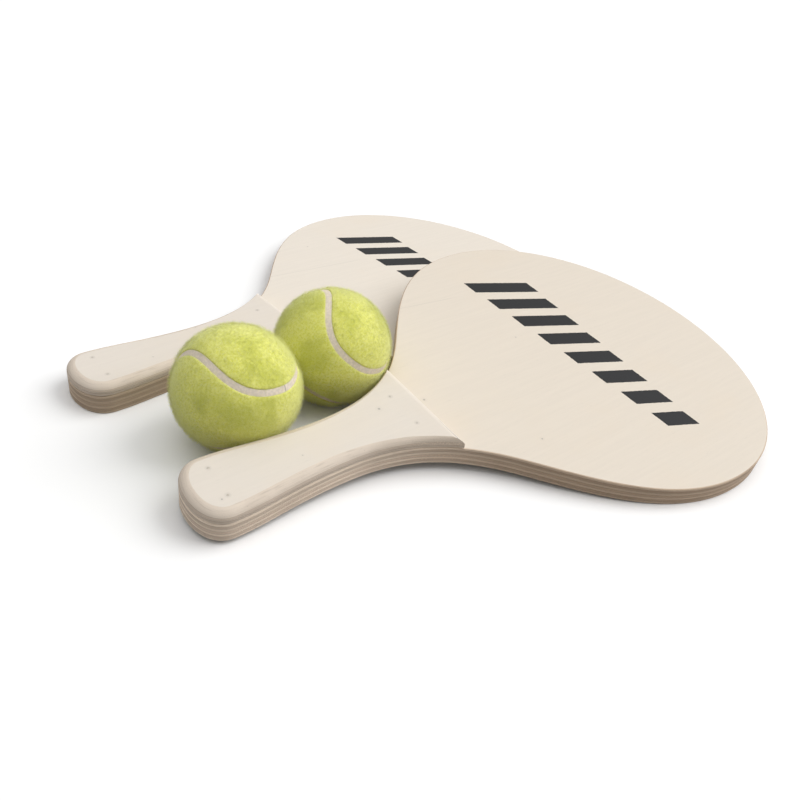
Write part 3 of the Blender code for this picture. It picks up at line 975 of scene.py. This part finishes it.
def cut_sphere(ruler, side):
    """A fine sphere cut along the seam, with how far each corner that is left lies inside the cut."""
    bm = bmesh.new()
    bmesh.ops.create_icosphere(bm, subdivisions=FELT_DIVISIONS, radius=1.0)
    reaches = {}
    for vertex in bm.verts:
        reach, across = ruler.reach(vertex.co)
        reach = side * reach - FELT_EDGE
        if abs(reach) < SNAP:
            vertex.co = (vertex.co - across * side * reach / BALL_RADIUS).normalized()
            reach = 0.0
        reaches[vertex] = reach
    for edge in list(bm.edges):
        first, second = edge.verts
        if reaches[first] * reaches[second] < 0.0:
            share = reaches[first] / (reaches[first] - reaches[second])
            edge_part, vertex = bmesh.utils.edge_split(edge, first, share)
            vertex.co.normalize()
            reaches[vertex] = 0.0
    rim = [vertex for vertex in bm.verts if reaches[vertex] == 0.0]
    bmesh.ops.connect_verts(bm, verts=rim)
    outside = [vertex for vertex in bm.verts if reaches[vertex] < 0.0]
    bmesh.ops.delete(bm, geom=outside, context="VERTS")
    bmesh.ops.triangulate(bm, faces=bm.faces)
    return bm, reaches


def panel_surface(ruler, side):
    """One dog-bone panel of felt in the ball's own frame, as points and triangles."""
    bm, reaches = cut_sphere(ruler, side)
    edges = [edge for edge in bm.edges if len(edge.link_faces) == 1]
    directions = {vertex: vertex.co.copy() for vertex in bm.verts}
    for vertex, direction in directions.items():
        vertex.co = direction * felt_height(direction, reaches[vertex])
    for radius in (BALL_RADIUS - ROLL_DEPTH, BALL_RADIUS - FELT_THICKNESS):
        made = bmesh.ops.extrude_edge_only(bm, edges=edges)["geom"]
        for vertex in made:
            if isinstance(vertex, bmesh.types.BMVert):
                vertex.co = vertex.co.normalized() * radius
        edges = [edge for edge in made if isinstance(edge, bmesh.types.BMEdge)]
    bmesh.ops.triangulate(bm, faces=bm.faces)
    bmesh.ops.recalc_face_normals(bm, faces=bm.faces)
    bm.verts.index_update()
    points = np.array([vertex.co for vertex in bm.verts])
    triangles = np.array([[vertex.index for vertex in face.verts] for face in bm.faces])
    bm.free()
    return points, triangles


def fibre_roots(ruler, side, count, random):
    """Places where fibres grow: directions from the ball's centre, and the felt's radius there."""
    roots = []
    heights = []
    while len(roots) < count:
        direction = Vector(random.normal(size=3)).normalized()
        reach = side * ruler.reach(direction)[0] - FELT_EDGE
        if reach > 0.0:
            roots.append(direction)
            heights.append(felt_height(direction, reach))
    return np.array(roots), np.array(heights)


def unit(vectors):
    return vectors / np.linalg.norm(vectors, axis=1, keepdims=True)


def fibres(ruler, side, settings, random):
    """Short bent fibres of three corners each that lie on the felt, as points and triangles."""
    count = settings.fibres
    outward, heights = fibre_roots(ruler, side, count, random)
    sideways = unit(np.cross(outward, random.normal(size=(count, 3))))
    crossways = np.cross(outward, sideways)
    length = settings.fibre_length * random.uniform(0.5, 1.5, size=(count, 1))
    lean = random.uniform(radians(25), radians(72), size=(count, 1))
    curl = random.uniform(radians(60), radians(125), size=(count, 1))
    swing = random.uniform(-1.3, 1.3, size=(count, 1))
    first = outward * np.cos(lean) + sideways * np.sin(lean)
    second = outward * np.cos(curl) + (sideways * np.cos(swing) + crossways * np.sin(swing)) * np.sin(curl)
    root = outward * (heights[:, None] - settings.fibre_width)
    bend = root + first * length * 0.5
    tip = bend + second * length * 0.5
    rings = []
    for centre, heading, share in ((root, first, 1.0), (bend, unit(first + second), 0.75)):
        up = unit(np.cross(heading, crossways))
        over = np.cross(heading, up)
        for corner in range(3):
            turn = 2 * pi * corner / 3
            spread = up * cos(turn) + over * sin(turn)
            rings.append(centre + spread * settings.fibre_width / 2 * share)
    points = np.stack(rings + [tip], axis=1).reshape(-1, 3)
    pattern = []
    for corner in range(3):
        after = (corner + 1) % 3
        pattern += [
            (corner, after, after + 3), (corner, after + 3, corner + 3), (corner + 3, after + 3, 6),
        ]
    triangles = (np.arange(count)[:, None, None] * 7 + np.array(pattern)[None]).reshape(-1, 3)
    return points, triangles


def placed_above_floor(points, place):
    """Points in the row's frame; what would reach through the floor is pressed flat on it."""
    turn = np.array(place.to_3x3())
    placed = points @ turn.T + np.array(place.to_translation())
    placed[:, 2] = np.maximum(placed[:, 2], FLOOR_CLEARANCE)
    return placed


def felt_pieces(ball, panels, materials):
    place = ball_frame(ball)
    made = []
    for (points, triangles), (fibre_points, fibre_triangles) in panels:
        vertices = placed_above_floor(np.vstack([points, fibre_points]), place)
        faces = np.vstack([triangles, fibre_triangles + len(points)])
        mesh = bpy.data.meshes.new(ball + "_felt")
        mesh.from_pydata(vertices, [], faces)
        slots = np.zeros(len(faces), dtype=np.int32)
        slots[len(triangles):] = 1
        mesh.polygons.foreach_set("material_index", slots)
        mesh.shade_smooth()
        made.append((vertices[:len(points), 2].mean(), mesh))
    made.sort(key=lambda pair: -pair[0])
    pieces = []
    for label, (height, mesh) in zip(("upper", "lower"), made):
        name = "%s_felt_panel_%s" % (ball, label)
        mesh.name = name
        pieces.append(new_piece(name, mesh, materials, "%s_felt_%s" % (ball, label), slot="ball_felt"))
    return pieces


SEAM_RISE = 0.00005
SEAM_OVERLAP = 0.0001
SEAM_ROUGHNESS = 0.00006
SEAM_ROUGHNESS_SCALE = 60.0

# The band in section: the share of its half width, and of the depth from its top to the core
SEAM_PROFILE = (
    (-1.0, 1.0), (-1.0, 0.05), (-0.85, 0.025), (-0.45, 0.01), (0.0, 0.0), (0.45, 0.01), (0.85, 0.025),
    (1.0, 0.05), (1.0, 1.0),
)


def seam_piece(ball, material):
    """The rubber band in the groove between the panels."""
    place = ball_frame(ball)
    top = BALL_RADIUS + SEAM_RISE
    floor = BALL_RADIUS - FELT_THICKNESS
    half_width = (FELT_EDGE + SEAM_OVERLAP) / BALL_RADIUS
    bm = bmesh.new()
    rings = []
    for outward, across in seam_sides(SEAM_STEPS):
        ring = []
        for offset, depth in SEAM_PROFILE:
            direction = (outward + across * offset * half_width).normalized()
            rough = SEAM_ROUGHNESS * noise.noise(direction * SEAM_ROUGHNESS_SCALE)
            point = place @ (direction * (top + (floor - top) * depth + rough))
            point.z = max(point.z, FLOOR_CLEARANCE)
            ring.append(bm.verts.new(point))
        rings.append(ring)
    count = len(SEAM_PROFILE)
    for ring, following in zip(rings, rings[1:] + rings[:1]):
        for i in range(count):
            j = (i + 1) % count
            bm.faces.new((ring[i], ring[j], following[j], following[i]))
    bmesh.ops.recalc_face_normals(bm, faces=bm.faces)
    mesh = bpy.data.meshes.new(ball + "_seam_band")
    bm.to_mesh(mesh)
    bm.free()
    mesh.shade_smooth()
    mesh.set_sharp_from_angle(angle=SMOOTH_ANGLE)
    return new_piece(ball + "_seam_band", mesh, [material], ball + "_seam", slot="ball_seam")


FIBRE_TINT = (1.16, 1.14, 1.6)
# The tufts' tint is painted light and the hollows' tint painted shade, laid on in step with the felt's bump
TUFT_PAINTED_LIGHT = (1.12, 1.10, 1.30)
HOLLOW_PAINTED_SHADE = (0.90, 0.89, 0.66)
WORN_TINT = (0.70, 0.71, 0.42)
FELT_SHEEN = (0.95, 1.0, 0.70, 1.0)
MOST_FELT = 0.97
PILE_DEPTH = 0.003


def felt_material(name, colour, depth):
    """Yellow-green felt: darker hollows between lighter tufts, painted as shade and light that follow the
    bump, with a soft sheen.

    depth is the share of the light that goes into the pile before it comes back.
    """
    material, shader = new_material(name, 0.95)
    shader.inputs["Specular IOR Level"].default_value = 0.15
    shader.inputs["Sheen Weight"].default_value = 0.9
    shader.inputs["Sheen Roughness"].default_value = 0.5
    shader.inputs["Sheen Tint"].default_value = FELT_SHEEN
    shader.inputs["Subsurface Weight"].default_value = depth
    shader.inputs["Subsurface Radius"].default_value = (1.0, 1.0, 0.5)
    shader.inputs["Subsurface Scale"].default_value = PILE_DEPTH
    tree = material.node_tree
    coordinates = object_coordinates(tree)
    tufts = grain(tree, coordinates, 850.0, 3.0, 0.55)
    bright = capped(tinted(colour, TUFT_PAINTED_LIGHT), MOST_FELT)
    # Painted light on the tufts and painted shade in the hollows, following the same noise as the bump
    tone = blend_colours(tree, between(tree, tufts, 0.32, 0.66), tinted(colour, HOLLOW_PAINTED_SHADE), bright)
    worn = between(tree, grain(tree, coordinates, 48.0, 3.0), 0.46, 0.64)
    tone = stained(tree, tone, worn, 0.60, tinted(colour, WORN_TINT))
    tree.links.new(tone, shader.inputs["Base Color"])
    give_bump(tree, shader, tufts, 0.0003, 0.4)
    return material


# Where along the seam the two ends of each ball's band meet, as the turn of the seam's formula
SEAM_JOINT_TURNS = {"front_ball": 9.27, "rear_ball": 2.99}


def seam_material(ball, colour):
    """Mottled rubber with one small dark tick where the two ends of the band meet."""
    material, shader = new_material(ball + "_seam_rubber", 0.8)
    tree = material.node_tree
    coordinates = local_coordinates(tree, ball_frame(ball))
    mottle = grain(tree, coordinates, 700.0, 3.0)
    light = between(tree, mottle, 0.32, 0.70)
    tone = blend_colours(tree, light, shaded(colour, 0.88), shaded(colour, 1.06))
    stain = between(tree, grain(tree, coordinates, 130.0, 2.0), 0.52, 0.70)
    tone = stained(tree, tone, stain, 0.25, shaded(colour, 0.74))
    turn = SEAM_JOINT_TURNS[ball]
    joint = seam_direction(turn)
    along = (seam_direction(turn + 0.01) - joint).normalized()
    joint = joint * BALL_RADIUS
    reach = measured(tree, "DISTANCE", coordinates, joint)
    past = apart(tree, measured(tree, "DOT_PRODUCT", coordinates, along), joint.dot(along))
    tick = product(tree, between(tree, past, 0.0006, 0.0002), between(tree, reach, 0.0022, 0.0014))
    tone = stained(tree, tone, tick, 0.55, shaded(colour, 0.25))
    tree.links.new(tone, shader.inputs["Base Color"])
    give_bump(tree, shader, mottle, 0.0001)
    return material


def core_material():
    material, shader = new_material("core_rubber", 0.7)
    tree = material.node_tree
    coordinates = object_coordinates(tree)
    bloom = grain(tree, coordinates, 300.0, 4.0)
    tone = blend_colours(tree, bloom, (0.012, 0.012, 0.012), (0.045, 0.043, 0.040))
    tree.links.new(tone, shader.inputs["Base Color"])
    give_bump(tree, shader, bloom, 0.0002)
    return material


# Stage


FLOOR_SIZE = 60.0
FLOOR_LIFT = 0.02
WHITE = (1.0, 1.0, 1.0, 1.0)
SKY_FALL = 3.0
KEY_BEARING = radians(70)
KEY_HEIGHT = radians(43)


def seen_ray(tree):
    """1 for a ray from the camera, straight or by way of a glossy or clear surface, and 0 for light."""
    path = add_node(tree, "ShaderNodeLightPath").outputs
    seen = calculate(tree, "MAXIMUM", path["Is Camera Ray"], path["Is Glossy Ray"])
    return calculate(tree, "MAXIMUM", seen, path["Is Transmission Ray"])


def floor_material(colour):
    """White where the lamps reach it, as the camera sees it, and a little darker as it lights the set."""
    material, shader = new_material("floor", 1.0)
    shader.inputs["Specular IOR Level"].default_value = 0.0
    shader.inputs["Emission Color"].default_value = WHITE
    tree = material.node_tree
    seen = seen_ray(tree)
    tree.links.new(blend_colours(tree, seen, colour, WHITE), shader.inputs["Base Color"])
    tree.links.new(product(tree, seen, FLOOR_LIFT), shader.inputs["Emission Strength"])
    return material


def make_floor(colour):
    bm = bmesh.new()
    bmesh.ops.create_grid(bm, x_segments=8, y_segments=8, size=FLOOR_SIZE / 2)
    mesh = bpy.data.meshes.new("floor")
    bm.to_mesh(mesh)
    bm.free()
    mesh.materials.append(floor_material(colour))
    floor = bpy.data.objects.new("floor", mesh)
    bpy.context.scene.collection.objects.link(floor)


def make_sky(sky, fill):
    """Light from above that falls off towards the floor; what is seen of the backdrop is plain white."""
    world = bpy.data.worlds.new("studio")
    bpy.context.scene.world = world
    world.use_nodes = True
    tree = world.node_tree
    direction = add_node(tree, "ShaderNodeTexCoord").outputs["Generated"]
    height = calculate(tree, "MAXIMUM", parts_of(tree, direction)["Z"], 0.0)
    dome = calculate(tree, "MULTIPLY_ADD", calculate(tree, "POWER", height, SKY_FALL), sky, fill)
    background = tree.nodes["Background"]
    background.inputs["Color"].default_value = WHITE
    strength = calculate(tree, "MAXIMUM", seen_ray(tree), dome)
    tree.links.new(strength, background.inputs["Strength"])


def make_key_light(strength, angle):
    """A broad lamp to the right of the set and a little behind it."""
    bearing = CAMERA_HEADING + pi / 2 - KEY_BEARING
    towards = Vector((
        cos(bearing) * cos(KEY_HEIGHT), sin(bearing) * cos(KEY_HEIGHT), sin(KEY_HEIGHT),
    ))
    lamp = bpy.data.lights.new("key", "SUN")
    lamp.energy = strength
    lamp.angle = angle
    key = bpy.data.objects.new("key", lamp)
    key.rotation_euler = towards.to_track_quat("Z", "Y").to_euler()
    bpy.context.scene.collection.objects.link(key)


def make_camera():
    camera_data = bpy.data.cameras.new("camera")
    camera_data.lens = CAMERA_LENS
    camera_data.sensor_width = SENSOR_WIDTH
    camera_data.clip_start = 0.01
    camera_data.clip_end = 200.0
    camera = bpy.data.objects.new("camera", camera_data)
    turn = Matrix.Rotation(CAMERA_HEADING, 4, "Z") @ Matrix.Rotation(pi / 2 - CAMERA_DOWN, 4, "X")
    turn = turn @ Matrix.Rotation(CAMERA_ROLL, 4, "Z")
    camera.matrix_world = Matrix.Translation(CAMERA_PLACE) @ turn
    bpy.context.scene.collection.objects.link(camera)
    bpy.context.scene.camera = camera


def make_stage(settings):
    make_floor(settings.floor)
    make_sky(settings.sky, settings.fill)
    make_key_light(settings.key, settings.key_angle)
    make_camera()
    bpy.context.scene.view_settings.view_transform = "Standard"


# Operators and panel


class PADDLESET_OT_blades(bpy.types.Operator):
    """Make the plywood blade of each paddle"""

    bl_idname = "paddleset.blades"
    bl_label = "Blades"

    def execute(self, context):
        for paddle in PADDLES:
            blade_piece(paddle, context.scene.paddle_blades)
        return {"FINISHED"}


class PADDLESET_OT_grips(bpy.types.Operator):
    """Make the grip on each paddle's handle"""

    bl_idname = "paddleset.grips"
    bl_label = "Grips"

    def execute(self, context):
        for paddle in PADDLES:
            grip_piece(paddle, context.scene.paddle_grips, context.scene.paddle_blades)
        return {"FINISHED"}


class PADDLESET_OT_pins(bpy.types.Operator):
    """Make the pins that hold the grips"""

    bl_idname = "paddleset.pins"
    bl_label = "Pins"

    def execute(self, context):
        settings = context.scene.paddle_grips
        material = pin_steel(settings.steel)
        for paddle in PADDLES:
            for number, spot in enumerate(pin_places(), start=1):
                pin_piece(paddle, number, spot, settings.pin_dome, material)
        return {"FINISHED"}


class PADDLESET_OT_felt(bpy.types.Operator):
    """Cover each ball with its two felt panels"""

    bl_idname = "paddleset.felt"
    bl_label = "Ball felt"

    def execute(self, context):
        settings = context.scene.paddle_balls
        materials = [
            felt_material("ball_felt", settings.felt, 0.6),
            felt_material("ball_felt_fibres", tinted(settings.felt, FIBRE_TINT), 0.0),
        ]
        ruler = SeamRuler()
        surfaces = {side: panel_surface(ruler, side) for side in (1, -1)}
        for seed, ball in enumerate(BALLS, start=1):
            random = np.random.default_rng(seed)
            panels = [(surfaces[side], fibres(ruler, side, settings, random)) for side in (1, -1)]
            felt_pieces(ball, panels, materials)
        return {"FINISHED"}


class PADDLESET_OT_seams(bpy.types.Operator):
    """Lay the rubber seam between the panels of each ball"""

    bl_idname = "paddleset.seams"
    bl_label = "Ball seams"

    def execute(self, context):
        for ball in BALLS:
            seam_piece(ball, seam_material(ball, context.scene.paddle_balls.seam))
        return {"FINISHED"}


class PADDLESET_OT_cores(bpy.types.Operator):
    """Give each ball's rubber core its finish"""

    bl_idname = "paddleset.cores"
    bl_label = "Ball cores"

    def execute(self, context):
        material = core_material()
        for ball in BALLS:
            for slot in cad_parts[ball + "_core"].material_slots:
                slot.material = material
        return {"FINISHED"}


class PADDLESET_OT_stage(bpy.types.Operator):
    """Set up the pale floor, the soft light and the camera"""

    bl_idname = "paddleset.stage"
    bl_label = "Stage"

    def execute(self, context):
        make_stage(context.scene.paddle_stage)
        return {"FINISHED"}


OPERATORS = (
    PADDLESET_OT_blades,
    PADDLESET_OT_grips,
    PADDLESET_OT_pins,
    PADDLESET_OT_felt,
    PADDLESET_OT_seams,
    PADDLESET_OT_cores,
    PADDLESET_OT_stage,
)

SETTINGS = {
    "paddle_blades": BladeSettings,
    "paddle_grips": GripSettings,
    "paddle_balls": BallSettings,
    "paddle_stage": StageSettings,
}


class PADDLESET_PT_panel(bpy.types.Panel):
    """Lists the pieces of the set and their sizes and colours"""

    bl_idname = "PADDLESET_PT_panel"
    bl_label = "Beach Paddle Ball Set"
    bl_space_type = "VIEW_3D"
    bl_region_type = "UI"
    bl_category = "Paddle Set"

    def draw(self, context):
        layout = self.layout
        for name in SETTINGS:
            box = layout.box()
            group = getattr(context.scene, name)
            for key in group.__annotations__:
                box.prop(group, key)
        for operator in OPERATORS:
            layout.operator(operator.bl_idname)


def register():
    for group in SETTINGS.values():
        bpy.utils.register_class(group)
    for operator in OPERATORS:
        bpy.utils.register_class(operator)
    bpy.utils.register_class(PADDLESET_PT_panel)
    for name, group in SETTINGS.items():
        setattr(bpy.types.Scene, name, PointerProperty(type=group))


def unregister():
    for name in SETTINGS:
        delattr(bpy.types.Scene, name)
    bpy.utils.unregister_class(PADDLESET_PT_panel)
    for operator in reversed(OPERATORS):
        bpy.utils.unregister_class(operator)
    for group in reversed(list(SETTINGS.values())):
        bpy.utils.unregister_class(group)


def write_sizes():
    """Bring the scene up to date."""
    bpy.context.view_layer.update()


def main():
    register()
    bpy.ops.paddleset.blades()
    bpy.ops.paddleset.grips()
    bpy.ops.paddleset.pins()
    bpy.ops.paddleset.felt()
    bpy.ops.paddleset.seams()
    bpy.ops.paddleset.cores()
    bpy.ops.paddleset.stage()
    write_sizes()


if __name__ == "__main__":
    main()
